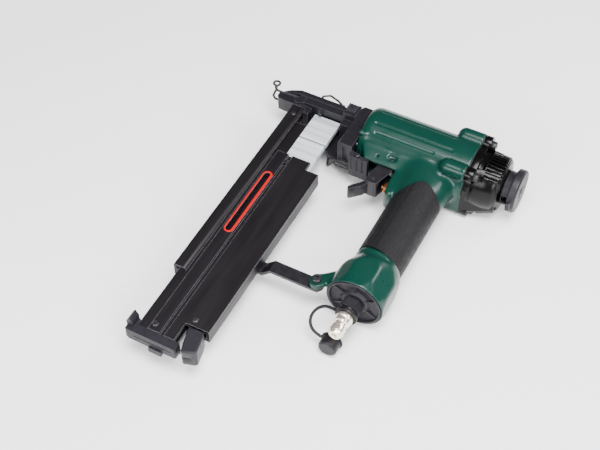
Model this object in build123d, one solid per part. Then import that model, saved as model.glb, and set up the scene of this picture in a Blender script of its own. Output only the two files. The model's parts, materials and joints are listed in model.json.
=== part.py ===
"""Air-powered stapler / brad gun lying on its side, magazine drawn open.

Units are millimetres.  Working frame while modelling: X along the drive axis
(nose tip at X=0, exhaust at +X), the magazine and the handle run towards -Y,
Z is up through the thickness of the tool and ZM is its middle plane.
The finished solids are shifted so that the origin is the bottom centre of the
whole tool's box.
"""
import os
from math import cos, sin, radians, sqrt
from build123d import *

os.makedirs("parts", exist_ok=True)

# ---------------------------------------------------------------- dimensions
ZM = 32.0              # middle plane above the surface the tool lies on
SHIFT = (-127.75, 144.0, 0.0)   # working frame -> stored frame

BARREL_R = 31.5        # green barrel outside radius
BARREL_X0, BARREL_X1 = 104.0, 219.0
CHAMBER_R = 25.0       # air chamber inside the barrel
BOLT_YZ = 23.6         # head bolts, offset of each from the drive axis
BOSS_R = 8.0
SLEEVE_RI, SLEEVE_RO = 19.0, 21.0
SLEEVE_X0, SLEEVE_X1 = 112.0, 213.0
PISTON_R = 18.94
STROKE = 78.0
PISTON_X0, PISTON_X1 = 202.4, 212.4
BUMPER_X1 = 124.0
BLADE_T, BLADE_W = 1.2, 5.6
HEAD_X0, HEAD_X1 = 220.0, 254.0
VALVE_R = 21.93
PORT_R = 8.05
DEFL_R = 22.0
GRIP_X, GRIP_RX, GRIP_RZ = 185.8, 23.6, 21.6
HANDLE_RX, HANDLE_RZ = 20.4, 18.4
BELL_FLAT = 28.3         # half width across the bell's facets
BELL_X = 184.4
RAIL_X0, RAIL_X1 = 20.0, 34.0
RAIL_Y1, RAIL_Y0 = -2.8, -237.0
SLIDE_Y1, SLIDE_Y0 = -67.0, -309.0
SLIDE_X1 = 88.0
CORE_T = 3.1
STAPLE_W = 5.8
TRIG_PIN = (145.8, -32.1)
LATCH_PIN = (70.2, -281.6)
DOOR_PIN = (82.0, 13.2)
ROD_Y, ROD_R = -41.0, 1.2
ARM_SCREW = (145.0, -192.0)
PLUG_X = 184.6


# ------------------------------------------------------------------- helpers
def box(x0, x1, y0, y1, z0, z1):
    return Pos((x0 + x1) / 2, (y0 + y1) / 2, (z0 + z1) / 2) * Box(abs(x1 - x0), abs(y1 - y0), abs(z1 - z0))


def cx(r, x0, x1, y=0.0, z=ZM):
    return Pos((x0 + x1) / 2, y, z) * Rot(0, 90, 0) * Cylinder(r, abs(x1 - x0))


def cy(r, y0, y1, x, z=ZM):
    return Pos(x, (y0 + y1) / 2, z) * Rot(90, 0, 0) * Cylinder(r, abs(y1 - y0))


def cz(r, z0, z1, x, y):
    return Pos(x, y, (z0 + z1) / 2) * Cylinder(r, abs(z1 - z0))


def prism_xy(pts, z0, z1):
    f = make_face(Polyline(*[(p[0], p[1]) for p in pts], close=True))
    return Pos(0, 0, z0) * extrude(f, z1 - z0, dir=(0, 0, 1))


def prism_xz(pts, y0, y1):
    f = make_face(Polyline(*[(p[0], 0, p[1]) for p in pts], close=True))
    return Pos(0, y0, 0) * extrude(f, y1 - y0, dir=(0, 1, 0))


def prism_yz(pts, x0, x1):
    f = make_face(Polyline(*[(0, p[0], p[1]) for p in pts], close=True))
    return Pos(x0, 0, 0) * extrude(f, x1 - x0, dir=(1, 0, 0))


def rev_x(pts, y=0.0, z=ZM):
    """pts are (x, r)."""
    f = make_face(Polyline(*[(p[0], p[1], 0) for p in pts], close=True))
    return Pos(0, y, z) * revolve(f, Axis.X)


def rev_y(pts, x, z=ZM):
    """pts are (y, r)."""
    f = make_face(Polyline(*[(p[1], p[0], 0) for p in pts], close=True))
    return Pos(x, 0, z) * revolve(f, Axis.Y)


def rev_z(pts, x, y):
    """pts are (r, z)."""
    f = make_face(Polyline(*[(p[0], 0, p[1]) for p in pts], close=True))
    return Pos(x, y, 0) * revolve(f, Axis.Z)


def ell_y(rx, rz, y0, y1, x, z=ZM):
    f = Plane((x, y1, z), x_dir=(1, 0, 0), z_dir=(0, -1, 0)) * Ellipse(rx, rz)
    return extrude(f, y1 - y0, dir=(0, -1, 0))


def stadium(x0, x1, y0, y1, z0, z1):
    r = (x1 - x0) / 2
    xc = (x0 + x1) / 2
    return box(x0, x1, y0 + r, y1 - r, z0, z1) + cz(r, z0, z1, xc, y0 + r) + cz(r, z0, z1, xc, y1 - r)


def wire(pts, r, bend):
    with BuildPart() as p:
        with BuildLine() as l:
            FilletPolyline(*pts, radius=bend)
        w = l.wires()[0]
        with BuildSketch(Plane(origin=w @ 0, z_dir=w % 0)):
            Circle(r)
        sweep(path=w)
    return p.part


def tube(pts, r):
    """Round bar swept along a smooth line through the points."""
    with BuildPart() as p:
        with BuildLine() as l:
            Spline(*pts)
        w = l.wires()[0]
        with BuildSketch(Plane(origin=w @ 0, z_dir=w % 0)):
            Circle(r)
        sweep(path=w)
    return p.part


def coil(r, wr, length, turns):
    """Helical spring along +Z from z=0, wire radius wr, mean radius r."""
    pitch = (length - 2 * wr) / turns
    h = Helix(pitch=pitch, height=length - 2 * wr, radius=r)
    s = Plane(origin=h @ 0, z_dir=h % 0) * Circle(wr)
    return Pos(0, 0, wr) * sweep(s, path=h)


def coil_x(r, wr, x0, x1, y, z, turns):
    return Pos(x0, y, z) * Rot(0, 90, 0) * coil(r, wr, x1 - x0, turns)


def coil_y(r, wr, y0, y1, x, z, turns):
    return Pos(x, y1, z) * Rot(90, 0, 0) * coil(r, wr, y1 - y0, turns)


def hexa(af, h):
    return extrude(RegularPolygon(af / sqrt(3), 6), h)


def cap_screw_x(xh, x_tip, r, rh, hh, y, z, af):
    """Socket screw along X, head underside at xh, head towards +X."""
    s = cx(r, x_tip, xh, y, z) + rev_x([(xh, 0), (xh, rh), (xh + hh - 0.5, rh), (xh + hh, rh - 0.5), (xh + hh, 0)], y, z)
    return s - Pos(xh + hh - hh * 0.55, y, z) * Rot(0, 90, 0) * hexa(af, hh)


def soft(part, r, pick=None):
    """Round edges one group at a time, keeping whatever succeeds."""
    try:
        e = part.edges() if pick is None else pick(part)
        return fillet(e, r)
    except Exception:
        return part


P = {}

# ------------------------------------------------------------------ gun body
bar = rev_x([(104, 0), (104, 26.5), (105.5, 29.3), (109, 31.0), (113, 31.5), (219, 31.5), (219, 0)])
body = bar
for sy in (-1, 1):
    for sz in (-1, 1):
        y, z = sy * BOLT_YZ, ZM + sz * 24.0
        b = cx(BOSS_R, 200, 219, y, z) + Pos(200, y, z) * Sphere(BOSS_R)
        body = body + b
# lower bosses run into a straight side wall next to the handle
low_boss = cx(BOSS_R, 188, 219, -BOLT_YZ, ZM - 24.0) + Pos(188, -BOLT_YZ, ZM - 24.0) * Sphere(BOSS_R)
body = body + low_boss + box(186, 219, -31.3, -12, ZM - 24.0, ZM)
web_sec = [(-12, 53.5), (-24.5, 51.2), (-40.5, 45.6), (-43.0, 43.0), (-43.0, 21.0), (-40.5, 18.4), (-24.5, 12.8), (-12, 10.5)]
web = prism_yz(web_sec, 108, 165)
web_plan = prism_xy([(108, -10), (108, -22), (119, -40.6), (152, -40.8), (166, -40.8), (166, -10)], 8, 56)
web = web & web_plan
beak = prism_xy([(152.5, -30), (153.2, -52), (154.8, -69.0), (157.4, -72.0), (161.6, -72.4), (164.5, -68.0), (171.0, -60.0), (171.0, -30)], 19.5, 44.5)
beak = soft(beak, 3.0, lambda p: [e for e in p.edges() if abs(e.center().Z - 44.5) < 0.01 or abs(e.center().Z - 19.5) < 0.01])
neck_a = Plane((GRIP_X, -76.5, ZM), x_dir=(1, 0, 0), z_dir=(0, 1, 0)) * Ellipse(GRIP_RX - 0.4, GRIP_RZ - 0.4)
neck_b = Plane((183.5, -46.0, ZM), x_dir=(1, 0, 0), z_dir=(0, 1, 0)) * Ellipse(27.5, 20.5)
neck_c = Plane((181.0, -16.0, ZM), x_dir=(1, 0, 0), z_dir=(0, 1, 0)) * Ellipse(38.0, 23.0)
neck = loft([neck_a, neck_b, neck_c])
handle = ell_y(HANDLE_RX, HANDLE_RZ, -160, -60, GRIP_X)
bell = rev_y([(-146, 0), (-146, 22.0), (-149.5, 25.0), (-153.8, 26.9), (-158.5, 28.1), (-165.8, 29.8), (-172.6, 30.6), (-178.8, 30.6),
              (-186.5, 30.0), (-192, 28.9), (-195, 28.2), (-195, 0)], BELL_X)
# eight soft facets round the bell, and a hollow shoulder on its magazine side
octo = make_face(fillet(RegularPolygon(BELL_FLAT / cos(radians(22.5)), 8, rotation=22.5).vertices(), 5.0).edges())
bell = bell & (Pos(BELL_X, -140, ZM) * Rot(90, 0, 0) * extrude(octo, 60))
bell_neck = ell_y(22.6, 20.6, -158, -138, GRIP_X)
shoulder = rev_y([(-136, 0), (-136, 28.0), (-147, 25.5), (-152.8, 24.3), (-156, 25.6), (-160, 27.8), (-164, 29.9), (-167.2, 31.3),
                  (-173, 31.9), (-196, 31.9), (-196, 0)], BELL_X + 3.6)
lug = prism_xy([(145.0, -198.9), (149.4, -196.6), (158.0, -188.2), (172.0, -186.0), (172.0, -170.0), (157.0, -172.6), (145.6, -182.6), (140.4, -186.6), (138.2, -190.2)], 32.8, 38.6) + \
    cz(7.0, 32.8, 38.6, *ARM_SCREW)

# rubber sleeve envelope: curved upper edge, slanted lower edge
grip_env = ell_y(GRIP_RX, GRIP_RZ, -160, -40, GRIP_X)
up_cut = Pos(GRIP_X, -42.6, ZM) * Rot(0, 0, 18.8) * (Rot(0, 90, 0) * Cylinder(22.6, 120) + Pos(0, 40, 0) * Box(120, 80, 45.2))
low_cut = prism_xy([(140, -136.1), (162, -140.4), (196, -147.0), (204, -154.5), (215, -158.8), (215, -200), (140, -200)], -20, 90)
grip_solid = (grip_env - up_cut) - low_cut

neck = (neck - ell_y(60, 60, -200, -76.4, 180)) - grip_solid
beak = beak - grip_solid
bell_neck = ((bell_neck + bell) & shoulder) - grip_solid
body = body + web + beak + neck + bell_neck + lug + handle
# chamber, front wall, bores
body = body - cx(CHAMBER_R, 112, 220)
body = body - box(100, 114, -0.9, 0.9, ZM - 3.1, ZM + 3.1)
body = body - cy(14.0, -200, -84, BELL_X) - rev_y([(-84.01, 0), (-84.01, 14), (-76, 8.8), (-76, 0)], BELL_X + 0.0) \
    - cy(8.8, -80, -18, 190.5)
body = body - cy(26.9, -196, -188, BELL_X)
for sy in (-1, 1):
    for sz in (-1, 1):
        body = body - cx(2.5, 202, 220, sy * BOLT_YZ, ZM + sz * 24.0)
NOSE_BOLTS = [(-25.0, 21.6), (-25.0, 42.4), (14.0, 21.6), (14.0, 42.4)]
for y, z in NOSE_BOLTS:
    body = body - cx(2.0, 103, 111.2, y, z)
# trigger slot, valve bore, pin and lug holes
body = body - box(116, 152.8, -60, -27.8, 21.3, 42.7) - box(104, 152.8, -60, -35.8, 19.4, 22.0)
body = body - cx(7.0, 150, 177, -56.0, ZM) - cx(3.0, 176, 184, -56.0, ZM)
body = body - cz(2.0, 5, 60, *TRIG_PIN)
for z0, z1 in ((47.0, 60), (4, 17.0)):
    body = body - Pos(TRIG_PIN[0], TRIG_PIN[1], (z0 + z1) / 2) * (Box(4.0, 6.2, z1 - z0) + Pos(2.0, 0, 0) * Cylinder(3.1, z1 - z0) + Pos(-2.0, 0, 0) * Cylinder(3.1, z1 - z0))
body = body - cz(1.25, 44.4, 60, 131.2, -34.1) - cz(1.25, 4, 19.6, 131.2, -34.1)
body = body - cz(2.55, 30, 42, *ARM_SCREW)
body = body - cz(1.3, 44, 49, 112.5, -37.0)
# long shallow grooves and the small boss on each face of the barrel
for sz in (1, -1):
    for yy, x0, x1 in ((-16.6, 120, 181), (-8.0, 116, 198), (10.5, 116, 198)):
        zz = sqrt((BARREL_R + 0.35) ** 2 - yy ** 2)
        g = cx(1.35, x0, x1, yy, ZM + sz * zz) + Pos(x0, yy, ZM + sz * zz) * Sphere(1.35) + Pos(x1, yy, ZM + sz * zz) * Sphere(1.35)
        body = body - g
    body = body + (cx(2.6, 104.5, 112.0, -19.8, ZM + sz * 23.0) & box(100, 120, -40, 0, 0, 64))
P["gun_body"] = body

grip = grip_solid - ell_y(HANDLE_RX, HANDLE_RZ, -170, -40, GRIP_X)
# shallow finger-side panels and ribs moulded into the sleeve
P["grip_sleeve"] = grip

# ------------------------------------------------------------- cylinder head
head = rev_x([(220, 0), (220, 30.6), (226.6, 30.6), (227.4, 27.6), (247, 27.0), (251.2, 25.2), (253.3, 22.0), (254, 19.5), (254, 0)])
hood = rev_x([(227, 0), (227, 30.2), (240, 29.4), (248, 27.6), (252.5, 23.5), (252.5, 0)])
hood = hood & (box(220, 260, -40, -13.5, 4, 60) + box(220, 260, 16.5, 40, 4, 60))
head = head + hood
for sy in (-1, 1):
    for sz in (-1, 1):
        head = head + cx(7.7, 220, 227.4, sy * BOLT_YZ, ZM + sz * 24.0)
fin_block = rev_x([(231.0, 0), (231.0, 26.6), (234.0, 29.4), (250.4, 28.6), (253.4, 24.6), (253.4, 0)])
fin_block = fin_block & (box(225, 260, -19, 19, ZM + 12, 64) + box(225, 260, -19, 19, 0, ZM - 12))
head = head + fin_block
# sloping side wall that runs from the lower boss to the end of the head
wall_a = Plane((220, 0, 0), x_dir=(0, 1, 0), z_dir=(1, 0, 0)) * make_face(Polyline(
    (-10, 46), (-27.0, 46), (-31.0, 39), (-31.3, 9), (-29.6, 3.6), (-24, 0.6), (-17.5, 3.2), (-10, 12), close=True))
wall_b = Plane((252, 0, 0), x_dir=(0, 1, 0), z_dir=(1, 0, 0)) * make_face(Polyline(
    (-8, 41), (-20.4, 41), (-24.0, 36), (-24.3, 19), (-22.8, 14.2), (-18.5, 11.6), (-13, 12.5), (-8, 18), close=True))
head = head + loft([wall_a, wall_b], ruled=True)
for k in range(-5, 6):
    for up in (90, -90):
        ang = k * 7.6 + up
        g = Pos(0, 0, ZM) * Rot(ang, 0, 0) * Pos(244.5, 28.7, 0) * Box(19.0, 4.4, 1.7)
        head = head - g
head = head - cx(22.0, 219, 240) - cx(PORT_R, 239, 246.5)
for k in range(4):
    a = radians(45 + 90 * k)
    head = head - cx(2.1, 246, 255, 5.6 * cos(a), ZM + 5.6 * sin(a))
head = head - cx(2.0, 244, 255)
for sy in (-1, 1):
    for sz in (-1, 1):
        head = head - cx(2.6, 219, 228, sy * BOLT_YZ, ZM + sz * 24.0)
        head = head - cx(5.0, 227.4, 236, sy * BOLT_YZ, ZM + sz * 24.0)
head = head - cx(5.0, 227.4, 233.2, -BOLT_YZ, ZM - 24.0) - box(227.4, 233.2, -BOLT_YZ - 4.8, -BOLT_YZ + 4.8, -1, ZM - 24.0) \
    - cx(2.4, 232, 256, -BOLT_YZ, ZM - 24.0)
P["cylinder_head"] = head

gasket = cx(30.2, 219, 220)
for sy in (-1, 1):
    for sz in (-1, 1):
        gasket = gasket + cx(7.4, 219, 220, sy * BOLT_YZ, ZM + sz * 24.0)
gasket = gasket + box(219, 220, -31.1, -12, ZM - 24.0, ZM)
gasket = gasket - cx(CHAMBER_R, 218, 221)
for sy in (-1, 1):
    for sz in (-1, 1):
        gasket = gasket - cx(2.6, 218, 221, sy * BOLT_YZ, ZM + sz * 24.0)
P["head_gasket"] = gasket

P["head_bolts"] = Compound([cap_screw_x(227.4, 203, 2.46, 4.3, 4.8, sy * BOLT_YZ, ZM + sz * 24.0, 4.0)
                            for sy in (-1, 1) for sz in (-1, 1)])

# ---------------------------------------------------------- exhaust deflector
defl = rev_x([(254.3, 14.0), (254.3, 16.6), (255.0, 17.4), (261.0, 17.4), (261.6, 21.0), (262.4, 21.9), (268.6, 22.0),
              (270.0, 20.6), (270.0, 6.4), (267.5, 6.4), (267.5, 2.06), (265.8, 2.06), (265.8, 14.0)])
defl = defl - box(255.6, 263.4, -30, -12, ZM - 5.5, ZM + 4.5)
defl = defl + prism_xy([(262.6, -20.5), (263.2, -24.6), (266.4, -24.6), (268.4, -20.5)], ZM - 5.0, ZM + 5.0)
P["exhaust_deflector"] = defl
dscr = cx(1.97, 246.8, 267.8) + rev_x([(267.8, 0), (267.8, 5.6), (269.2, 5.6), (270.6, 4.4), (271.2, 2.4), (271.2, 0)])
dscr = dscr - Pos(269.3, 0, ZM) * Rot(0, 90, 0) * hexa(3.0, 4)
P["deflector_screw"] = dscr

# -------------------------------------------------------- main (head) valve
hv = rev_x([(213.4, 5.5), (213.4, VALVE_R), (215.8, VALVE_R), (215.8, 19.2), (219.0, 19.2), (219.0, VALVE_R), (232.0, VALVE_R),
            (232.0, 18.6), (222.6, 18.6), (222.6, 8.0), (241.4, 8.0), (241.4, 5.5)])
P["head_valve"] = hv
P["head_valve_seal"] = Pos(217.4, 0, ZM) * Rot(0, 90, 0) * Torus(20.6, 1.3)
P["head_valve_spring"] = coil_x(13.4, 1.0, 222.9, 239.8, 0, ZM, 3.5)

# ------------------------------------------------------------ cylinder sleeve
sl = rev_x([(112.0, 19.0), (112.0, 21.0), (213.0, 21.0), (213.0, 19.0)])
for k in range(8):
    sl = sl - Pos(128.5, 0, ZM) * Rot(22.5 + 45 * k, 0, 0) * Pos(0, 20, 0) * Rot(90, 0, 0) * Cylinder(1.5, 6)
P["cylinder_sleeve"] = sl
P["sleeve_collar"] = rev_x([(148.0, 21.03), (148.0, 24.95), (150.6, 24.95), (150.6, 23.2), (153.4, 23.2), (153.4, 24.95), (156.0, 24.95), (156.0, 21.03)])
P["collar_seal"] = Pos(152.0, 0, ZM) * Rot(0, 90, 0) * Torus(24.05, 0.85)
P["bumper"] = rev_x([(112.1, 4.4), (112.1, 18.7), (121.5, 18.7), (124.0, 17.2), (124.0, 8.8), (117.6, 8.8), (117.6, 4.4)])

# --------------------------------------------------------- piston and blade
pis = rev_x([(196.0, 0), (196.0, 8.0), (202.4, 8.0), (202.4, PISTON_R), (205.4, PISTON_R), (205.4, 16.0), (209.4, 16.0),
             (209.4, PISTON_R), (212.4, PISTON_R), (212.4, 0)])
pis = pis - box(190, 208.1, -0.62, 0.62, ZM - 2.82, ZM + 2.82) - cy(1.55, -9, 9, 199.0)
P["piston"] = pis
P["piston_seal"] = Pos(207.4, 0, ZM) * Rot(0, 90, 0) * Torus(17.35, 1.3)
blade = box(77.0, 208.0, -0.6, 0.6, ZM - 2.8, ZM + 2.8) - cy(1.55, -2, 2, 199.0)
P["driver_blade"] = blade
P["blade_pin"] = cy(1.5, -7.6, 7.6, 199.0)

# ------------------------------------------------------------------ the nose
flange = prism_xy([(88.6, -37.2), (104.0, -37.2), (104.0, 17.0), (101.5, 19.2), (92.0, 19.2), (88.6, 15.0)], 15.0, 49.2)
flange = flange & prism_xz([(88.6, 16.5), (90.0, 15.0), (104, 15.0), (104, 49.2), (90.2, 49.2), (88.6, 47.6)], -40, 25)
nose = flange
nose = nose + box(30, 89, 0.9, 9.7, 20.0, 44.0)
nose = nose + prism_xy([(0.0, 1.6), (0.0, 8.6), (1.2, 9.7), (31, 9.7), (34.2, 2.0), (34.2, -2.4), (9.0, -2.4), (2.4, -1.6)], 24.5, 40.0)
nose = nose + prism_xy([(18, 2.4), (24, 9.7), (31, 9.7), (31, 0.9), (24, -2.2)], 20.0, 43.0)
nose = nose + box(34.6, 40, -8, 1.0, 22.0, 39.0) + box(76.5, 89, -8, 1.0, 20, 42.0)
nose = nose + prism_xy([(24, 9.7), (24, -7), (45, -9), (60, -16), (66.0, -23.0), (77.0, -33.5), (89.5, -36.4), (104, -36.4), (104, 9.7)], 16.0, 20.4)
nose = nose + box(23.0, 31.0, -18.0, -2.0, 26.9, 37.1)
nose = nose + box(75.5, 89, 7.5, 17.6, 44.2, 49.6) + box(75.5, 89, 7.5, 17.6, 14.4, 19.8) + box(75.5, 89, 0.9, 9.7, 14.4, 49.6)
for k in range(4):
    nose = nose - box(77.0 + k * 2.6, 78.2 + k * 2.6, 6, 20, 48.7, 51)
nose = nose - box(60, 90, 9.7, 20, 19.8, 44.2)
nose = nose + box(50.2, 53.0, -4.0, 1.2, 37.4, 41.4)
# stepped end of the flange
nose = nose - box(93.8, 99.2, -40, -35.4, 24.0, 44.0) - box(87, 93.0, -40, -35.9, 14, 22.0)
# driver channel, wire tunnels, bolt counterbores
nose = nose - box(-1, 106, -0.9, 0.9, ZM - 3.1, ZM + 3.1)
nose = nose - box(40.0, 76.5, -8.1, 0.95, 28.4, 35.6)
for zz in (38.6, 25.4):
    nose = nose - cx(1.55, -1, 44 if zz > 30 else 64, 8.6, zz) - cx(2.3, -1, 3.4, 8.9, zz)
nose = nose - box(53.5, 68.0, 7.0, 12, 12, 25.4)
for y, z in NOSE_BOLTS:
    nose = nose - cx(2.1, 88, 105, y, z) - cx(4.0, 87, 93.6, y, z)
nose = nose - cz(1.56, 12, 52, *DOOR_PIN)
nose = nose - cz(1.25, 36.0, 42, 27.0, -15.0) - cz(1.25, 22, 28.0, 27.0, -15.0)
P["nose_body"] = nose
P["nose_bolts"] = Compound([cap_screw_x(0, -17.4, 1.95, 3.5, 3.9, 0, 0, 3.0).rotate(Axis.Z, 180).move(Location((93.6, y, z)))
                            for y, z in NOSE_BOLTS])

# nose door with its hinge pin and wire bail latch
door = prism_xy([(3.0, 10.0), (3.0, 11.4), (8.0, 12.6), (22.0, 16.0), (66.5, 16.0), (70.0, 15.0), (80.6, 15.0), (80.6, 10.05), (70, 10.05)], 21.2, 43.6)
door = door & prism_xz([(2, 26), (2, 38), (10, 41.5), (20, 43.6), (90, 43.6), (90, 21.2), (20, 21.2), (10, 22.5)], 5, 20)
door = door + cz(3.1, 21.2, 43.6, *DOOR_PIN)
door = door - cz(1.56, 15, 50, *DOOR_PIN)
for zz in (38.6, 25.4):
    door = door - cx(1.55, -1, 44 if zz > 30 else 66, 8.6, zz)
door = door - box(24, 62, 14.6, 18, 27.0, 37.0)
door = door + box(63.0, 69.0, 15.9, 20.2, 24.2, 28.6) + box(63.0, 69.0, 15.9, 20.2, 35.4, 39.8)
door = door - cz(1.3, 20, 45, 66.0, 18.0)
door = door - box(76.0, 90, 14.0, 30, 19, 45)
door = door + cz(3.1, 21.2, 43.6, *DOOR_PIN) - cz(1.56, 15, 50, *DOOR_PIN)
P["nose_door"] = door
P["door_hinge_pin"] = cz(1.5, 14.6, 49.4, *DOOR_PIN) + cz(2.4, 49.6, 50.6, *DOOR_PIN) + cz(1.5, 49.0, 50.0, *DOOR_PIN)
bail = wire([(66.0, 18.0, 24.3), (66.0, 18.0, 22.3), (60.5, 21.0, 22.3), (50.0, 24.3, 22.3), (43.2, 19.6, 22.3), (43.2, 19.6, 41.7),
             (50.0, 24.3, 41.7), (60.5, 21.0, 41.7), (66.0, 18.0, 41.7), (66.0, 18.0, 39.7)], 1.1, 0.9)
bail = bail + cz(1.2, 22.3, 41.7, 66.0, 18.0)
P["door_bail"] = bail

# safety contact wire and its pad
leg_z = 25.4
sw = wire([(35.0, 8.6, 38.6), (-4.2, 8.6, 38.6), (-8.4, 12.4, 37.2), (-9.4, 18.8, 35.6), (-8.6, 13.4, 33.0), (-9.4, 8.8, 29.0),
           (-6.8, 8.6, leg_z), (56.0, 8.6, leg_z), (56.0, 8.6, 12.9), (62.0, 3.0, 12.9), (79.5, ROD_Y, 12.9), (86.0, ROD_Y, 21.6), (126.5, ROD_Y, 21.6)], ROD_R, 1.45)
ring = Pos(-11.2, 20.6, 35.4) * Torus(3.3, 1.2)
P["safety_wire"] = sw + ring
yoke = box(125.8, 127.2, ROD_Y - 2.2, -36.6, 20.2, 28.0) + box(127.0, 128.6, ROD_Y - 2.2, -36.6, 24.3, 28.0) - cx(1.22, 125, 130, ROD_Y, 21.6)
P["safety_pad"] = yoke

# ribbed plastic guide for the safety rod
guide = prism_xy([(104.4, -44.6), (104.4, -37.6), (108.5, -37.4), (116.6, -40.9), (117.0, -45.0), (110, -45.4)], 17.6, 45.2)
guide = guide + box(116.4, 125.0, -45.4, -41.0 + 0.1, 17.6, 45.2)
guide = guide - box(116.0, 126, -41.0, -38, 15, 48)
for k in range(3):
    guide = guide - box(107.0 + k * 6.0, 109.0 + k * 6.0, -47, -44.4, 27.0, 43.0) - box(107.0 + k * 6.0, 109.0 + k * 6.0, -46, -36, 44.2, 47)
guide = guide - cx(1.28, 100, 130, ROD_Y, 21.6)
P["safety_guide"] = guide
P["guide_screw"] = rev_z([(0, 41.0), (1.1, 41.0), (1.1, 45.25), (2.6, 45.25), (2.6, 46.2), (1.8, 46.9), (0, 46.9)], 112.5, -41.6)
P["safety_guide"] = P["safety_guide"] - cz(1.15, 40.8, 46, 112.5, -41.6)
P["safety_spring"] = coil_x(2.1, 0.4, 90.0, 104.1, ROD_Y, 21.6, 7)
P["safety_wire"] = P["safety_wire"] + cx(2.5, 88.4, 89.7, ROD_Y, 21.6)

# ---------------------------------------------------------------- magazine
rail = box(RAIL_X0, RAIL_X1, RAIL_Y0, RAIL_Y1, 24.0, 40.0)
rail = soft(rail, 1.6, lambda p: [e for e in p.edges().filter_by(Axis.Y) if e.center().X < 25])
rail = soft(rail, 4.4, lambda p: [e for e in p.edges().filter_by(Axis.Y) if e.center().X > 33])
rail = rail - box(22.4, 40, RAIL_Y0 - 1, RAIL_Y1 + 1, 26.4, 37.6)
rail = rail + box(22.0, 60.0, RAIL_Y0, -18.4, ZM - CORE_T / 2, ZM + CORE_T / 2) + box(59.0, 72.6, -212.0, -18.4, ZM - CORE_T / 2, ZM + CORE_T / 2)
rail = rail + box(45.4, 72.6, -18.5, -1.4, ZM - CORE_T / 2, ZM + CORE_T / 2)
rail = rail - cz(1.25, 37, 41, 27.0, -15.0) - cz(1.25, 23, 27, 27.0, -15.0)
for yy in (-188.8, -195.6):
    rail = rail - cz(1.5, 23, 26.2, 27.0, yy)
P["magazine_rail"] = rail
P["rail_screws"] = Compound([rev_z([(0, 36.1), (1.2, 36.1), (1.2, 40.05), (2.5, 40.05), (2.5, 40.6), (1.8, 41.1), (0, 41.1)], 27.0, -15.0),
                             rev_z([(0, 27.9), (1.2, 27.9), (1.2, 23.95), (2.5, 23.95), (2.5, 23.4), (1.8, 22.9), (0, 22.9)], 27.0, -15.0)])

sx0, sx1 = 45.0, 74.2
def strip(y0, y1):
    s = box(sx0, sx1, y0, y1, ZM - STAPLE_W / 2, ZM + STAPLE_W / 2) - box(sx0 - 1, sx1 - 1.1, y0 - 1, y1 + 1, ZM - 1.85, ZM + 1.85)
    return s
P["staple_strip"] = Compound([strip(-36.0, -1.0), strip(-163.4, -36.5)])

up = [(26.6, 35.7), (26.6, 37.3), (37.6, 37.3), (37.6, 40.0), (49.8, 40.0), (49.8, 37.0), (54.0, 37.0), (54.0, 39.4), (88.0, 39.4), (88.0, 32.0), (85.2, 32.0), (85.2, 35.7)]
dn = [(x, 2 * ZM - z) for x, z in up]
sec = prism_xz(up, SLIDE_Y0, SLIDE_Y1) + prism_xz(dn, SLIDE_Y0, SLIDE_Y1)
sec = sec - box(73.6, 90, -77.6, -60, 20, 45) - box(20, 37.6, -76.0, -60, 20, 45)
sec = sec - box(64.5, 90, -311, -288.4, 20.0, 45.0)
win = stadium(40.8, 47.0, -179.8, -98.4, 34, 42)
sec = sec - win
sec = sec + box(50.0, 53.6, -80.0, -75.5, 36.5, 41.2)
sec = sec + box(76.0, 85.5, -277.0, -274.0, 28.2, 35.8)
sec = sec - cz(2.3, 24, 41, *LATCH_PIN) - cz(1.6, 34, 41, 41.6, -302.2)
P["magazine_slide"] = sec
trim = stadium(39.0, 49.4, -181.8, -96.4, 40.0, 40.5) - stadium(40.6, 46.8, -180.0, -98.2, 39.5, 41)
P["window_trim"] = trim

cap = box(20.0, 70.4, -317.8, -309.1, 25.0, 38.6)
cap = soft(cap, 1.5, lambda p: [e for e in p.edges().filter_by(Axis.Z) if e.center().Y < -315])
cap = cap + box(36.0, 62.0, -309.5, -296.0, 28.8, 35.3)
cap = cap + prism_xz([(18.8, 24.6), (18.8, 45.0), (21.8, 50.0), (25.2, 44.8), (25.2, 24.6)], -313.6, -302.6)
cap = cap + box(18.8, 26.2, -317.0, -302.6, 25.0, 38.6)
cap = cap + box(43.0, 56.0, -319.6, -310.0, 20.6, 27.0)
cap = cap + box(36.2, 48.8, -311.0, -309.0, 36.0, 40.0)
cap = cap - cz(1.45, 26.0, 36.2, 41.6, -302.2)
cap = cap - box(27.0, 66.0, -320.5, -317.0, 31.4, 32.6)
P["slide_end_cap"] = cap
cs = rev_z([(0, 29.5), (1.4, 29.5), (1.4, 40.05), (3.3, 40.05), (3.3, 41.0), (2.2, 42.0), (0, 42.0)], 41.6, -302.2)
cs = cs - Pos(41.6, -302.2, 41.2) * (Box(3.2, 0.7, 2.0) + Box(0.7, 3.2, 2.0))
P["end_cap_screw"] = cs

lat = prism_xy([(64.8, -279.5), (66.5, -276.6), (72.5, -276.2), (75.6, -280), (76.6, -288.6), (84.4, -291.6), (84.8, -296.0), (69.4, -296.0)], 28.6, 35.4)
blk = prism_xy([(70.0, -294.6), (73.8, -309.0), (76.2, -316.4), (78.2, -317.4), (88.2, -314.0), (89.8, -311.8), (87.0, -297.6), (84.8, -291.4), (77.0, -291.0), (71.6, -292.6)], 22.0, 42.0)
blk = soft(blk, 1.4, lambda p: [e for e in p.edges() if abs(e.center().Z - 42.0) < 0.01])
blk = blk - box(68, 94, -318.5, -315.0, 31.2, 32.4)
lat = (lat + blk) - cz(2.26, 20, 45, *LATCH_PIN)
lat = lat - box(60, 90, -289.3, -270, 35.4, 45)
P["slide_latch"] = lat
P["latch_pin"] = cz(2.2, 24.6, 39.4, *LATCH_PIN) + rev_z([(0, 39.4), (3.4, 39.4), (3.4, 39.9), (2.4, 40.7), (0, 40.9)], *LATCH_PIN)
P["latch_spring"] = coil_x(1.7, 0.35, 70.6, 74.1, -313.0, ZM, 2.5)

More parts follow.
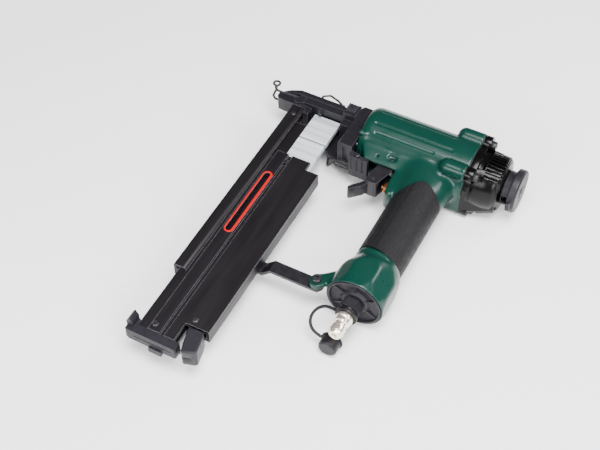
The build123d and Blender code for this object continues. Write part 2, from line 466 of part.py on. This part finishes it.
push = box(46.0, 83.4, -188.0, -163.8, 28.9, 35.1)
push = push - box(40, 73.0, -190, -160, 30.1, 33.9)
P["pusher"] = push
P["pusher_spring"] = coil_y(2.7, 0.45, -273.7, -188.3, 80.4, ZM, 24)

# ------------------------------------------------------------ support arm
arm = box(20.4, 34.0, -199.0, -185.4, 20.6, 24.0) + box(34.0, 90.0, -199.0, -185.4, 20.6, 23.3)
arm = arm + prism_xz([(88.0, 20.6), (91.0, 20.6), (100.4, 29.6), (140.0, 29.6), (140.0, 32.5), (99.2, 32.5), (89.6, 23.3), (88.0, 23.3)], -199.0, -185.4)
arm = arm + box(139.0, 145.0, -199.0, -185.4, 29.6, 32.5) + cz(6.9, 29.6, 32.5, *ARM_SCREW)
arm = arm - cz(2.6, 28, 34, *ARM_SCREW)
for yy in (-188.8, -195.6):
    arm = arm - cz(1.5, 20, 25, 27.0, yy)
P["support_arm"] = arm
asc = cz(2.45, 25.6, 38.7, *ARM_SCREW) + rev_z([(0, 38.6), (4.4, 38.6), (4.4, 42.4), (3.8, 43.0), (0, 43.0)], *ARM_SCREW)
asc = asc - Pos(ARM_SCREW[0], ARM_SCREW[1], 40.4) * hexa(4.0, 4)
P["arm_screw"] = asc
nut = Pos(ARM_SCREW[0], ARM_SCREW[1], 25.4) * hexa(8.0, 4.2) - cz(2.45, 20, 35, *ARM_SCREW)
P["arm_nut"] = nut
P["arm_rivets"] = Compound([rev_z([(0, 19.4), (1.6, 19.4), (2.6, 20.1), (2.6, 20.6), (1.48, 20.6), (1.48, 26.1), (0, 26.1)], 27.0, yy) for yy in (-188.8, -195.6)])

# ------------------------------------------------------- trigger mechanism
tp = [(141.6, -28.4), (149.2, -28.6), (150.0, -43.1), (146.8, -54.0), (143.8, -63.9), (140.5, -64.6), (132.8, -64.4), (131.6, -60.0), (133.6, -46.4), (135.0, -40.5), (138.4, -33.0)]
cheek = prism_xy(tp, 22.0, 42.0)
trg = cheek - prism_xy([(130.0, -20), (155, -20), (155, -62.4), (134.2, -62.4), (134.2, -60.0), (135.8, -46.0), (130.0, -46.0)], 23.6, 40.4)
finger = prism_xy([(133.4, -58.0), (131.6, -61.8), (127.6, -67.2), (122.2, -72.4), (119.4, -76.6), (120.2, -79.2), (122.4, -79.4), (126.4, -75.4), (131.6, -70.4), (135.2, -64.4), (136.5, -60.0)], 25.0, 39.0)
trg = trg + finger
trg = trg + cz(4.2, 22.0, 23.6, *TRIG_PIN) + cz(4.2, 40.4, 42.0, *TRIG_PIN)
trg = trg & box(100, 160, -100, -28.0, 20, 45)
LEVER_PIN = (138.6, -59.0)
trg = trg - cz(2.06, 20, 45, *TRIG_PIN) - cz(1.0, 20, 45, *LEVER_PIN)
P["trigger"] = trg
P["trigger_pin"] = cz(2.0, 17.2, 46.8, *TRIG_PIN)
P["lever_pin"] = cz(0.97, 22.1, 41.9, *LEVER_PIN)
lev = prism_xy([(137.0, -60.6), (140.4, -60.6), (141.2, -57.0), (141.4, -52.0), (141.0, -46.5), (140.9, -39.4), (139.0, -39.4), (139.0, -46.0), (138.8, -52.0), (137.2, -57.0)], 25.6, 38.4) \
    - cz(1.04, 20, 45, *LEVER_PIN)
lev = lev + box(138.9, 140.8, -41.6, -38.6, 23.9, 38.4)
P["trigger_lever"] = lev
P["trigger_spring"] = Pos(TRIG_PIN[0], TRIG_PIN[1], 25.2) * coil(2.9, 0.45, 13.5, 9)
vb = rev_x([(149.4, 2.06), (149.4, 5.4), (150.2, 6.2), (151.6, 6.2), (151.6, 6.96), (176.8, 6.96), (176.8, 4.6), (160.0, 4.6), (160.0, 2.06)], -56.0)
P["trigger_valve"] = vb
P["valve_stem"] = rev_x([(146.3, 0), (146.3, 1.4), (146.9, 2.0), (161.0, 2.0), (161.0, 4.4), (165.0, 4.4), (165.0, 2.0), (169.0, 2.0), (169.0, 0)], -56.0)
P["valve_spring"] = coil_x(3.2, 0.45, 165.3, 176.6, -56.0, ZM, 5)

# ------------------------------------------------------------ air inlet end
ec = rev_y([(-195.2, 8.2), (-195.2, 12.0), (-192.0, 14.5), (-192.8, 24.0), (-195.6, 25.0), (-195.6, 26.7), (-193.6, 26.85), (-192.4, 26.85),
            (-192.4, 25.2), (-190.2, 25.2), (-190.2, 26.85), (-188.2, 26.85), (-188.2, 8.2)], BELL_X)
for k in range(6):
    a = 30 + 60 * k
    ec = ec + Pos(BELL_X, 0, ZM) * Rot(0, a, 0) * Pos(18.4, -193.0, 0) * Box(11.5, 1.8, 1.6)
P["handle_end_cap"] = ec
P["end_cap_seal"] = Pos(BELL_X, -191.3, ZM) * Rot(90, 0, 0) * Torus(25.95, 0.72)
ad = Pos(BELL_X, -196.0, ZM) * Rot(90, 0, 0) * hexa(18.0, 10.0) + cy(8.15, -196.1, -184.0, BELL_X) + cy(7.4, -208.6, -205.9, BELL_X)
ad = ad - cy(4.0, -220, -180, BELL_X) - cy(5.0, -209, -198, BELL_X)
P["inlet_adaptor"] = ad
pl = rev_y([(-199.0, 2.6), (-199.0, 4.96), (-208.8, 4.96), (-208.8, 6.0), (-212.4, 6.0), (-212.4, 8.2), (-215.6, 8.2), (-216.4, 7.4), (-220.6, 7.2), (-221.4, 5.8), (-224.4, 5.8),
            (-225.2, 7.0), (-231.8, 7.0), (-233.2, 6.0), (-234.6, 5.6), (-235.0, 5.2), (-235.0, 2.6)], BELL_X)
P["air_plug"] = pl
# moulded dust cap: collar, strap loop and cup
CUPX, CUPY, CUPZ = 179.0, -231.0, 10.6
coll = rev_y([(-209.0, 6.3), (-209.0, 10.6), (-211.9, 10.6), (-211.9, 6.3)], BELL_X)
cup = rev_y([(CUPY + 4.5, 10.4), (CUPY + 3.0, 10.4), (CUPY + 3.0, 9.4), (CUPY - 6.2, 9.0), (CUPY - 7.6, 7.6), (CUPY - 7.6, 0), (CUPY - 5.4, 0), (CUPY - 5.4, 6.6), (CUPY + 4.5, 6.8)], CUPX, CUPZ)
strap = tube([(BELL_X - 8.4, -210.4, 33.4), (170.6, -209.8, 32.6), (162.0, -209.6, 30.6), (155.8, -214.4, 27.2), (154.2, -221.4, 22.2), (157.6, -226.6, 17.0),
              (163.6, -228.4, 13.4), (CUPX - 8.2, -228.6, 11.6)], 1.5)
P["dust_cap"] = coll + strap + cup

# -------------------------------------------------------------------- export
total = None
for name, part in P.items():
    part = part.moved(Location(SHIFT))
    export_step(part, "parts/%s.step" % name)
    bb = part.bounding_box()
    lo, hi = bb.min, bb.max
    ns = len(part.solids())
    print("%-20s solids %d  x %.1f..%.1f  y %.1f..%.1f  z %.2f..%.2f  vol %.0f" % (name, ns, lo.X - SHIFT[0], hi.X - SHIFT[0], lo.Y - SHIFT[1], hi.Y - SHIFT[1], lo.Z, hi.Z, part.volume))
    t = [lo.X, hi.X, lo.Y, hi.Y, lo.Z, hi.Z]
    total = t if total is None else [min(total[0], t[0]), max(total[1], t[1]), min(total[2], t[2]), max(total[3], t[3]), min(total[4], t[4]), max(total[5], t[5])]
print("nodes", len(P), "box", [round(v, 3) for v in total])
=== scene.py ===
import json
import math
import bmesh
import bpy
import numpy as np
from mathutils import Matrix, Vector


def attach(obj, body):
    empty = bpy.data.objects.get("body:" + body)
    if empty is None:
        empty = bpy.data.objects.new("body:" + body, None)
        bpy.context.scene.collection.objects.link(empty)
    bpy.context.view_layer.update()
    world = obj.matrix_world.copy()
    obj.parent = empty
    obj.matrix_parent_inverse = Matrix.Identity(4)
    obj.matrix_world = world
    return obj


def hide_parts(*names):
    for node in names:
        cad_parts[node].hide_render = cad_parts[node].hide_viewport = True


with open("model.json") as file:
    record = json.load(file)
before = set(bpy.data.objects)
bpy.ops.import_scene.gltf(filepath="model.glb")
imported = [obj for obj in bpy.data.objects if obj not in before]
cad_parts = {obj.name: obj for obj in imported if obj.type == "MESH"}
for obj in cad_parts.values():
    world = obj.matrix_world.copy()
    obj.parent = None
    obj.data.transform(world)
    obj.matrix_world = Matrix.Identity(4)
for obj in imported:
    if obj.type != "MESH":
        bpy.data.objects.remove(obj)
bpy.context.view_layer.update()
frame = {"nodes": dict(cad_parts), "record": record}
S = Vector((-127.75, 144.0, 0.0))          # the tool's own axes (mm) to the frame
N = frame["nodes"]


def P(x, y, z):
    return (Vector((x, y, z)) + S) / 1000.0


# --------------------------------------------------------------------------
# node materials
# --------------------------------------------------------------------------
def lin(r, g, b, k=1.0):
    """Linear colour from display values, scaled by k."""
    def f(c):
        c = c / 255.0
        return k * (c / 12.92 if c <= 0.04045 else ((c + 0.055) / 1.055) ** 2.4)
    return (f(r), f(g), f(b), 1.0)


def dk(r, g, b):
    """Colour of a dark or painted surface as it looks under the studio light."""
    return lin(r, g, b, 0.33)


class Mat:
    """Small wrapper that builds a Principled material out of object-space noises."""

    def __init__(self, name, base, rough=0.4, metallic=0.0, coat=0.0, coat_rough=0.1, spec=0.5, aniso=0.0, sheen=0.0):
        self.m = bpy.data.materials.new(name)
        self.m.use_nodes = True
        self.t = self.m.node_tree
        self.t.nodes.clear()
        self.out = self.t.nodes.new("ShaderNodeOutputMaterial")
        self.b = self.t.nodes.new("ShaderNodeBsdfPrincipled")
        self.t.links.new(self.b.outputs[0], self.out.inputs[0])
        self.b.inputs["Base Color"].default_value = base
        self.b.inputs["Roughness"].default_value = rough
        self.b.inputs["Metallic"].default_value = metallic
        self.b.inputs["Coat Weight"].default_value = coat
        self.b.inputs["Coat Roughness"].default_value = coat_rough
        self.b.inputs["Specular IOR Level"].default_value = spec
        self.b.inputs["Anisotropic"].default_value = aniso
        self.b.inputs["Sheen Weight"].default_value = sheen
        self.base, self.rough = base, rough
        self.tc = self.t.nodes.new("ShaderNodeTexCoord")
        self.col = None
        self.rgh = None
        self.h = None

    def n(self, kind, **kw):
        x = self.t.nodes.new(kind)
        for k, v in kw.items():
            setattr(x, k, v)
        return x

    def link(self, a, b):
        self.t.links.new(a, b)

    def coords(self, scale=(1, 1, 1), rot=(0, 0, 0)):
        mp = self.n("ShaderNodeMapping")
        mp.inputs["Scale"].default_value = scale
        mp.inputs["Rotation"].default_value = rot
        self.link(self.tc.outputs["Object"], mp.inputs["Vector"])
        return mp.outputs[0]

    def noise(self, scale, detail=4.0, rough=0.55, stretch=(1, 1, 1), distort=0.0):
        x = self.n("ShaderNodeTexNoise")
        x.inputs["Scale"].default_value = scale
        x.inputs["Detail"].default_value = detail
        x.inputs["Roughness"].default_value = rough
        x.inputs["Distortion"].default_value = distort
        self.link(self.coords(stretch), x.inputs["Vector"])
        return x.outputs["Fac"]

    def voronoi(self, scale, feature="F1", stretch=(1, 1, 1), rnd=1.0):
        x = self.n("ShaderNodeTexVoronoi")
        x.feature = feature
        x.inputs["Scale"].default_value = scale
        x.inputs["Randomness"].default_value = rnd
        self.link(self.coords(stretch), x.inputs["Vector"])
        return x.outputs["Distance"]

    def wave(self, scale, axis="X", distort=0.0, rot=(0, 0, 0), profile="SIN"):
        x = self.n("ShaderNodeTexWave")
        x.bands_direction = axis
        x.wave_profile = profile
        x.inputs["Scale"].default_value = scale
        x.inputs["Distortion"].default_value = distort
        self.link(self.coords((1, 1, 1), rot), x.inputs["Vector"])
        return x.outputs["Fac"]

    def ramp(self, fac, a, b, ca=(0, 0, 0, 1), cb=(1, 1, 1, 1)):
        r = self.n("ShaderNodeValToRGB")
        r.color_ramp.elements[0].position = a
        r.color_ramp.elements[1].position = b
        r.color_ramp.elements[0].color = ca
        r.color_ramp.elements[1].color = cb
        self.link(fac, r.inputs[0])
        return r.outputs[0]

    def mix(self, fac, ca, cb, blend="MIX"):
        x = self.n("ShaderNodeMix")
        x.data_type = "RGBA"
        x.blend_type = blend
        if hasattr(fac, "links"):
            self.link(fac, x.inputs[0])
        else:
            x.inputs[0].default_value = fac
        for s, v in ((6, ca), (7, cb)):
            if hasattr(v, "links"):
                self.link(v, x.inputs[s])
            else:
                x.inputs[s].default_value = v
        return x.outputs[2]

    def tint(self, fac, colour, amount=1.0):
        """Lays a colour over the base where fac is 1."""
        cur = self.col if self.col is not None else self.base
        if amount != 1.0:
            m = self.n("ShaderNodeMath", operation="MULTIPLY")
            self.link(fac, m.inputs[0])
            m.inputs[1].default_value = amount
            fac = m.outputs[0]
        self.col = self.mix(fac, cur, colour)
        return self

    def rough_by(self, fac, lo, hi):
        r = self.n("ShaderNodeMapRange")
        r.inputs["From Min"].default_value = 0.25
        r.inputs["From Max"].default_value = 0.75
        r.inputs["To Min"].default_value = lo
        r.inputs["To Max"].default_value = hi
        self.link(fac, r.inputs["Value"])
        if self.rgh is None:
            self.rgh = r.outputs[0]
        else:
            m = self.n("ShaderNodeMath", operation="ADD")
            self.link(self.rgh, m.inputs[0])
            self.link(r.outputs[0], m.inputs[1])
            self.rgh = m.outputs[0]
        return self

    def bump(self, fac, dist, strength=1.0):
        b = self.n("ShaderNodeBump")
        b.inputs["Strength"].default_value = strength
        b.inputs["Distance"].default_value = dist
        self.link(fac, b.inputs["Height"])
        if self.h is not None:
            self.link(self.h, b.inputs["Normal"])
        self.h = b.outputs[0]
        return self

    def edge(self, radius=0.0006, lo=0.05, hi=0.35):
        """1 near convex edges, from the bevel shader against the true normal; the materials use it to paint
        highlights along edges.
        """
        bv = self.n("ShaderNodeBevel", samples=4)
        bv.inputs["Radius"].default_value = radius
        g = self.n("ShaderNodeNewGeometry")
        d = self.n("ShaderNodeVectorMath", operation="DOT_PRODUCT")
        self.link(bv.outputs[0], d.inputs[0])
        self.link(g.outputs["Normal"], d.inputs[1])
        inv = self.n("ShaderNodeMath", operation="SUBTRACT")
        inv.inputs[0].default_value = 1.0
        self.link(d.outputs["Value"], inv.inputs[1])
        return self.ramp(inv.outputs[0], lo, hi)

    def done(self):
        if self.col is not None:
            self.link(self.col, self.b.inputs["Base Color"])
        if self.rgh is not None:
            self.link(self.rgh, self.b.inputs["Roughness"])
        if self.h is not None:
            self.link(self.h, self.b.inputs["Normal"])
        return self.m


M = {}

# green enamel, glossy over a slight orange peel
g = Mat("green_enamel", (0.0002, 0.0235, 0.0165, 1), rough=0.32, coat=0.12, coat_rough=0.14, spec=0.26)
g.tint(g.noise(45, 3), (0.0004, 0.032, 0.0225, 1), 0.6)
g.tint(g.noise(240, 2), (0.0001, 0.021, 0.0148, 1), 0.3)
g.rough_by(g.noise(60, 4), 0.24, 0.38)
g.bump(g.noise(700, 2, 0.4), 0.00003, 0.5)
g.bump(g.noise(110, 2, 0.5), 0.0001, 0.3)
M["green_paint"] = g.done()

# moulded grip rubber: rows of fine raised dots over a leather-like grain
g = Mat("grip_rubber", dk(22, 20, 25), rough=0.62, spec=0.24)
g.tint(g.noise(60, 3), dk(31, 28, 34), 0.55)
g.tint(g.ramp(g.voronoi(620, rnd=0.25), 0.12, 0.45, (1, 1, 1, 1), (0, 0, 0, 1)), dk(54, 50, 57), 0.6)
g.rough_by(g.noise(200, 3), 0.5, 0.68)
g.bump(g.ramp(g.voronoi(620, rnd=0.25), 0.0, 0.5, (1, 1, 1, 1), (0, 0, 0, 1)), 0.0006, 0.9)
g.bump(g.noise(420, 3), 0.0002, 0.35)
M["grip_rubber"] = g.done()

g = Mat("gloss_black", dk(5, 5, 6), rough=0.24, coat=0.0, spec=0.2)
g.tint(g.noise(80, 3), dk(11, 11, 13), 0.7)
g.rough_by(g.noise(50, 4), 0.2, 0.3)
g.bump(g.noise(500, 2), 0.00003, 0.4)
g.bump(g.noise(90, 2), 0.00012, 0.3)
M["black_plastic"] = g.done()

g = Mat("satin_black_plastic", dk(47, 44, 53), rough=0.45, spec=0.24)
g.tint(g.noise(70, 3), dk(58, 55, 64), 0.6)
# painted highlight: a light grey tint along convex edges
g.tint(g.edge(0.0007, 0.06, 0.4), dk(130, 128, 136), 0.5)
g.rough_by(g.noise(240, 3), 0.36, 0.55)
g.bump(g.noise(1600, 2), 0.00006, 0.4)
M["black_satin_plastic"] = g.done()

g = Mat("black_steel", dk(31, 28, 35), rough=0.38, spec=0.38)
g.tint(g.noise(50, 4), dk(50, 47, 55), 0.6)
# painted highlight: a light grey tint along convex edges
g.tint(g.edge(0.0008, 0.05, 0.35), lin(110, 108, 118), 0.6)
g.rough_by(g.noise(180, 4), 0.28, 0.48)
g.bump(g.noise(1300, 2), 0.00005, 0.4)
M["black_steel"] = g.done()

g = Mat("black_anodised", dk(25, 20, 26), rough=0.4, spec=0.27)
g.tint(g.noise(16, 4, stretch=(1, 0.25, 1)), dk(34, 28, 34), 0.6)
# painted highlight: a pale grey tint along convex edges
g.tint(g.edge(0.0007, 0.04, 0.3), lin(150, 148, 158), 0.65)
g.rough_by(g.noise(160, 4, stretch=(1, 0.1, 1)), 0.36, 0.54)
g.bump(g.noise(900, 3, stretch=(1, 0.06, 1)), 0.00003, 0.4)
M["black_anodised"] = g.done()

g = Mat("dark_fixings", dk(60, 58, 63), rough=0.32, metallic=0.4, spec=0.5)
g.tint(g.noise(150, 3), dk(84, 82, 89), 0.6)
# painted highlight: a bright grey tint along convex edges
g.tint(g.edge(0.0004, 0.06, 0.4), dk(190, 188, 196), 0.6)
g.rough_by(g.noise(400, 3), 0.26, 0.44)
g.bump(g.noise(1500, 2), 0.00004, 0.4)
M["dark_screws"] = g.done()

g = Mat("bright_steel", lin(200, 202, 206), rough=0.34, metallic=1.0)
g.tint(g.noise(60, 3), lin(176, 179, 184), 0.5)
g.rough_by(g.noise(500, 3, stretch=(0.1, 1, 1)), 0.26, 0.46)
g.bump(g.noise(900, 2, stretch=(0.05, 1, 1)), 0.00003, 0.4)
M["bright_steel"] = g.done()

# galvanised staple wires glued side by side: fine ribs across the strip
g = Mat("staple_wire", lin(224, 229, 233), rough=0.42, metallic=0.35, spec=0.6)
g.tint(g.noise(90, 3, stretch=(0.3, 1, 1)), lin(200, 206, 211), 0.6)
g.tint(g.ramp(g.noise(230, 3, stretch=(0.02, 1, 0.02)), 0.46, 0.68), lin(150, 157, 164), 0.7)
g.tint(g.ramp(g.wave(394.7, "Y"), 0.0, 0.35, (1, 1, 1, 1), (0, 0, 0, 1)), lin(130, 137, 144), 0.6)
g.rough_by(g.noise(300, 3), 0.34, 0.5)
sep = g.n("ShaderNodeSeparateXYZ")
g.link(g.tc.outputs["Object"], sep.inputs[0])
cmp_ = g.n("ShaderNodeMath", operation="COMPARE")
cmp_.inputs[1].default_value = 0.10775
cmp_.inputs[2].default_value = 0.00075
g.link(sep.outputs[1], cmp_.inputs[0])
g.tint(cmp_.outputs[0], lin(40, 42, 46), 0.85)
g.bump(g.wave(394.7, "Y"), 0.0003, 0.5)
M["staples"] = g.done()

g = Mat("nickel", lin(250, 238, 222), rough=0.24, metallic=0.9, spec=0.6)
g.tint(g.noise(120, 3), lin(226, 212, 194), 0.4)
g.rough_by(g.noise(300, 3), 0.16, 0.32)
g.bump(g.noise(900, 2, stretch=(1, 0.2, 1)), 0.00002, 0.4)
M["nickel"] = g.done()

g = Mat("brass", lin(196, 128, 84, 0.7), rough=0.34, metallic=1.0)
g.tint(g.noise(150, 3), lin(168, 104, 64, 0.7), 0.5)
g.rough_by(g.noise(300, 3), 0.22, 0.4)
g.bump(g.noise(1100, 2), 0.00003, 0.4)
M["brass"] = g.done()

g = Mat("plain_aluminium", lin(198, 200, 203), rough=0.36, metallic=1.0)
g.tint(g.noise(60, 3), lin(174, 176, 180), 0.5)
g.rough_by(g.noise(300, 3), 0.28, 0.46)
g.bump(g.noise(900, 2), 0.00003, 0.4)
M["aluminium"] = g.done()

g = Mat("seal_rubber", dk(34, 34, 36), rough=0.55, spec=0.3)
g.tint(g.noise(200, 3), dk(48, 48, 50), 0.6)
g.rough_by(g.noise(300, 3), 0.45, 0.65)
g.bump(g.noise(1200, 2), 0.00004, 0.3)
M["seal_rubber"] = g.done()

g = Mat("soft_rubber", dk(30, 29, 34), rough=0.46, spec=0.3)
g.tint(g.noise(90, 3), dk(42, 41, 47), 0.6)
g.rough_by(g.noise(260, 3), 0.38, 0.56)
g.bump(g.noise(1500, 2), 0.00005, 0.4)
M["soft_rubber"] = g.done()

g = Mat("red_paint", lin(228, 3, 8, 0.5), rough=0.45, spec=0.3)
g.tint(g.noise(300, 3), lin(212, 2, 6, 0.5), 0.6)
g.rough_by(g.noise(300, 3), 0.34, 0.5)
g.bump(g.noise(900, 2), 0.00003, 0.3)
M["red_trim"] = g.done()

for sp in frame["record"]["subparts"]:
    o = N[sp["node"]]
    o.data.materials.clear()
    o.data.materials.append(M[sp["material_slot"]])


# these two springs sit in the open and take the dark fixings material, unlike the bright ones inside
for s_ in ("safety_spring", "latch_spring"):
    N[s_].data.materials[0] = M["dark_screws"]


def polish(o, width=0.0003, angle=30, segments=2):
    """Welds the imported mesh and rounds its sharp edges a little."""
    w = o.modifiers.new("weld", "WELD")
    w.merge_threshold = 2e-6
    d = o.modifiers.new("flat", "DECIMATE")
    d.decimate_type = "DISSOLVE"
    d.angle_limit = math.radians(0.2)
    if width:
        b = o.modifiers.new("bevel", "BEVEL")
        b.width = width
        b.segments = segments
        b.limit_method = "ANGLE"
        b.angle_limit = math.radians(angle)
        b.harden_normals = False
        b.miter_outer = "MITER_ARC"


# --------------------------------------------------------------------------
# floor, light, camera
# --------------------------------------------------------------------------
fm = Mat("studio_floor", (0.94, 0.94, 0.94, 1), rough=0.75)
fm.tint(fm.noise(3, 2), (0.96, 0.96, 0.96, 1), 0.4)
fm.rough_by(fm.noise(20, 2), 0.7, 0.85)
me = bpy.data.meshes.new("floor")
bm = bmesh.new()
bmesh.ops.create_grid(bm, x_segments=8, y_segments=8, size=4.0)
bm.to_mesh(me)
bm.free()
floor = bpy.data.objects.new("floor", me)
floor.data.materials.append(fm.done())
bpy.context.scene.collection.objects.link(floor)
floor.location = (0, 0, -0.0002)

world = bpy.data.worlds.new("studio")
bpy.context.scene.world = world
world.use_nodes = True
world.node_tree.nodes["Background"].inputs[0].default_value = (1, 1, 1, 1)
world.node_tree.nodes["Background"].inputs[1].default_value = 0.2


def area(name, loc, target, size, power, size_y=None):
    l = bpy.data.lights.new(name, "AREA")
    l.energy = power
    l.size = size
    if size_y:
        l.shape = "RECTANGLE"
        l.size_y = size_y
    o = bpy.data.objects.new(name, l)
    o.location = loc
    o.rotation_euler = (Vector(target) - Vector(loc)).to_track_quat("-Z", "Y").to_euler()
    bpy.context.scene.collection.objects.link(o)
    return o


area("right_box", (1.15, -0.75, 0.85), (0, 0, 0.03), 1.0, 32)
area("front_box", (-0.35, -1.35, 0.75), (0, 0, 0.03), 1.1, 24, 0.6)
area("top_box", (0.3, -0.3, 1.7), (0, 0, 0.0), 0.9, 72)
area("rim_box", (0.85, 1.0, 0.95), (0, 0, 0.03), 0.8, 16, 0.5)

cam_d = bpy.data.cameras.new("camera")
cam_d.sensor_width = 36.0
cam_d.lens = 71.76
cam_d.clip_start, cam_d.clip_end = 0.01, 50
cam = bpy.data.objects.new("camera", cam_d)
bpy.context.scene.collection.objects.link(cam)
bpy.context.scene.camera = cam
az, el = math.radians(27.74), math.radians(50.5)
cam.location = P(436, -778, 911)
fwd = Vector((-math.sin(az) * math.cos(el), math.cos(az) * math.cos(el), -math.sin(el)))
cam.rotation_mode = "QUATERNION"
cam.rotation_quaternion = fwd.to_track_quat("-Z", "Y")

# --------------------------------------------------------------------------
# pieces built here
# --------------------------------------------------------------------------
def new_obj(name, me, mat, body, slot, *nodes):
    o = bpy.data.objects.new(name, me)
    bpy.context.scene.collection.objects.link(o)
    o.data.materials.clear()
    o.data.materials.append(M[mat])
    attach(o, body)
    if nodes:
        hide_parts(*nodes)
    return o


def catmull(pts, n=10, closed=False):
    """Smooth line through the points."""
    pts = [Vector(p) for p in pts]
    out = []
    k = len(pts)
    rng = range(k) if closed else range(k - 1)
    for i in rng:
        p0 = pts[(i - 1) % k] if closed or i > 0 else pts[0] * 2 - pts[1]
        p1, p2 = pts[i], pts[(i + 1) % k]
        p3 = pts[(i + 2) % k] if closed or i + 2 < k else pts[-1] * 2 - pts[-2]
        for j in range(n):
            t = j / n
            out.append(0.5 * ((2 * p1) + (p2 - p0) * t + (2 * p0 - 5 * p1 + 4 * p2 - p3) * t * t + (3 * p1 - p0 - 3 * p2 + p3) * t ** 3))
    if not closed:
        out.append(pts[-1])
    return out


def sweep(bm, line, section, closed=False, cap=True):
    """Sweeps a closed section [(a, b)] in mm along a line given in mm; returns nothing, fills bm (metres)."""
    n = len(line)
    tang = []
    for i in range(n):
        a = line[(i - 1) % n] if closed or i > 0 else line[i]
        b = line[(i + 1) % n] if closed or i < n - 1 else line[i]
        tang.append((b - a).normalized())
    up = Vector((0, 0, 1))
    if abs(tang[0].dot(up)) > 0.9:
        up = Vector((0, 1, 0))
    u = (up - tang[0] * up.dot(tang[0])).normalized()
    rings = []
    for i in range(n):
        u = (u - tang[i] * u.dot(tang[i])).normalized()
        v = tang[i].cross(u)
        ring = [bm.verts.new((line[i] + u * s[0] + v * s[1] + S) / 1000.0) for s in section]
        rings.append(ring)
    m = len(section)
    for i in range(n if closed else n - 1):
        r0, r1 = rings[i], rings[(i + 1) % n]
        for j in range(m):
            bm.faces.new((r0[j], r0[(j + 1) % m], r1[(j + 1) % m], r1[j]))
    if not closed and cap:
        bm.faces.new(list(reversed(rings[0])))
        bm.faces.new(rings[-1])


def circle(r, n=16):
    return [(r * math.cos(2 * math.pi * k / n), r * math.sin(2 * math.pi * k / n)) for k in range(n)]


def mesh_from(bm, name, smooth=True):
    bmesh.ops.recalc_face_normals(bm, faces=bm.faces[:])
    me = bpy.data.meshes.new(name)
    bm.to_mesh(me)
    bm.free()
    if smooth:
        for p in me.polygons:
            p.use_smooth = True
        me.set_sharp_from_angle(angle=math.radians(38))
    return me


REPLACED = set()


def evaluated(o):
    dg = bpy.context.evaluated_depsgraph_get()
    dg.update()
    return bpy.data.meshes.new_from_object(o.evaluated_get(dg))


def softened(node, name, voxel, weight, rounds, keep=0.00025, even=6):
    """A finely remeshed copy of a node whose concave junctions are filled like a casting."""
    src = N[node]
    tmp = bpy.data.objects.new("tmp", src.data.copy())
    tmp.data.transform(src.matrix_world)
    bpy.context.scene.collection.objects.link(tmp)
    w = tmp.modifiers.new("weld", "WELD")
    w.merge_threshold = 2e-6
    r = tmp.modifiers.new("remesh", "REMESH")
    r.mode = "VOXEL"
    r.voxel_size = voxel
    r.adaptivity = 0.0
    me = evaluated(tmp)
    old = tmp.data
    bpy.data.objects.remove(tmp)
    bpy.data.meshes.remove(old)
    n = len(me.vertices)
    co = np.empty(n * 3)
    me.vertices.foreach_get("co", co)
    co = co.reshape(-1, 3)
    ed = np.empty(len(me.edges) * 2, dtype=np.int64)
    me.edges.foreach_get("vertices", ed)
    ed = ed.reshape(-1, 2)
    a, b = np.concatenate([ed[:, 0], ed[:, 1]]), np.concatenate([ed[:, 1], ed[:, 0]])
    deg = np.maximum(np.bincount(a, minlength=n), 1)[:, None]

    def mean(x):
        return np.stack([np.bincount(a, weights=x[b, k], minlength=n) for k in range(3)], 1) / deg

    lo, hi = co.min(0), co.max(0)
    for _ in range(even):
        co = co + 0.5 * (mean(co) - co)
        co = co - 0.52 * (mean(co) - co)
    me.vertices.foreach_set("co", co.reshape(-1))
    me.update()
    nr = np.empty(n * 3)
    me.vertices.foreach_get("normal", nr)
    nr = nr.reshape(-1, 3)
    mm = co * 1000.0 - np.array(S)
    wt = weight(mm[:, 0], mm[:, 1], mm[:, 2])[:, None]
    p = co.copy()
    for _ in range(rounds):
        p = p + 0.6 * wt * (mean(p) - p)
        d = p - co
        h = (d * nr).sum(1, keepdims=True)
        p = p + nr * (np.maximum(h, -keep) - h)
    for _ in range(3):
        p = p + 0.4 * np.minimum(wt * 2, 1) * (mean(p) - p)
    p = np.clip(p, lo, hi)
    me.vertices.foreach_set("co", p.reshape(-1))
    me.name = name
    for q in me.polygons:
        q.use_smooth = True
    me.update()
    return me


def body_weight(x, y, z):
    h = np.abs(z - 32.0)
    w = np.clip((-18.2 - y) / 4.0, 0, 1)
    w *= np.clip((y + 78.0) / 6.0, 0, 1)
    w *= np.clip((x - 107.0) / 4.0, 0, 1)
    w *= np.clip((np.hypot(y, h) - 26.5) / 1.5, 0, 1)
    w *= np.where(x < 156.0, np.clip((h - 11.6) / 2.0, 0, 1), 1.0)
    w *= np.where(y < -40.0, 1.0, np.clip((y + 42.0) / 1.5, 0.15, 1))
    w *= np.where(np.hypot(x - 145.8, y + 32.1) < 6.2, 0.0, 1.0)
    w *= np.where(np.hypot(x - 131.2, y + 34.1) < 2.2, 0.0, 1.0)
    w *= np.where(np.hypot(x - 112.5, y + 37.0) < 2.2, 0.0, 1.0)
    core = np.hypot((x - 185.8) / 20.4, h / 18.4)
    w *= np.where((y < -62.0) & (core < 1.04), 0.0, 1.0)
    w *= np.where((x > 176.0) & (x < 205.0) & (np.hypot(x - 190.5, h) < 10.0), 0.0, 1.0)
    w *= np.where(x > 216.5, 0.0, 1.0)
    # the shoulder of the handle's end
    w2 = np.clip((-158.0 - y) / 3.0, 0, 1) * np.clip((y + 193.0) / 3.0, 0, 1)
    r = np.hypot(x - 184.4, h)
    w2 *= np.where((r > 26.2) & (r < 40.0), 1.0, 0.0)
    return np.maximum(w, 0.6 * w2)


gun = new_obj("gun_body_cast", softened("gun_body", "gun_body_cast", 0.0008, body_weight, 60), "green_paint", "gun", "green_paint", "gun_body")
REPLACED.add("gun_body")

for name, o in N.items():
    if name not in REPLACED:
        polish(o, 0.0004 if name in ("magazine_slide", "magazine_rail") else 0.0003)
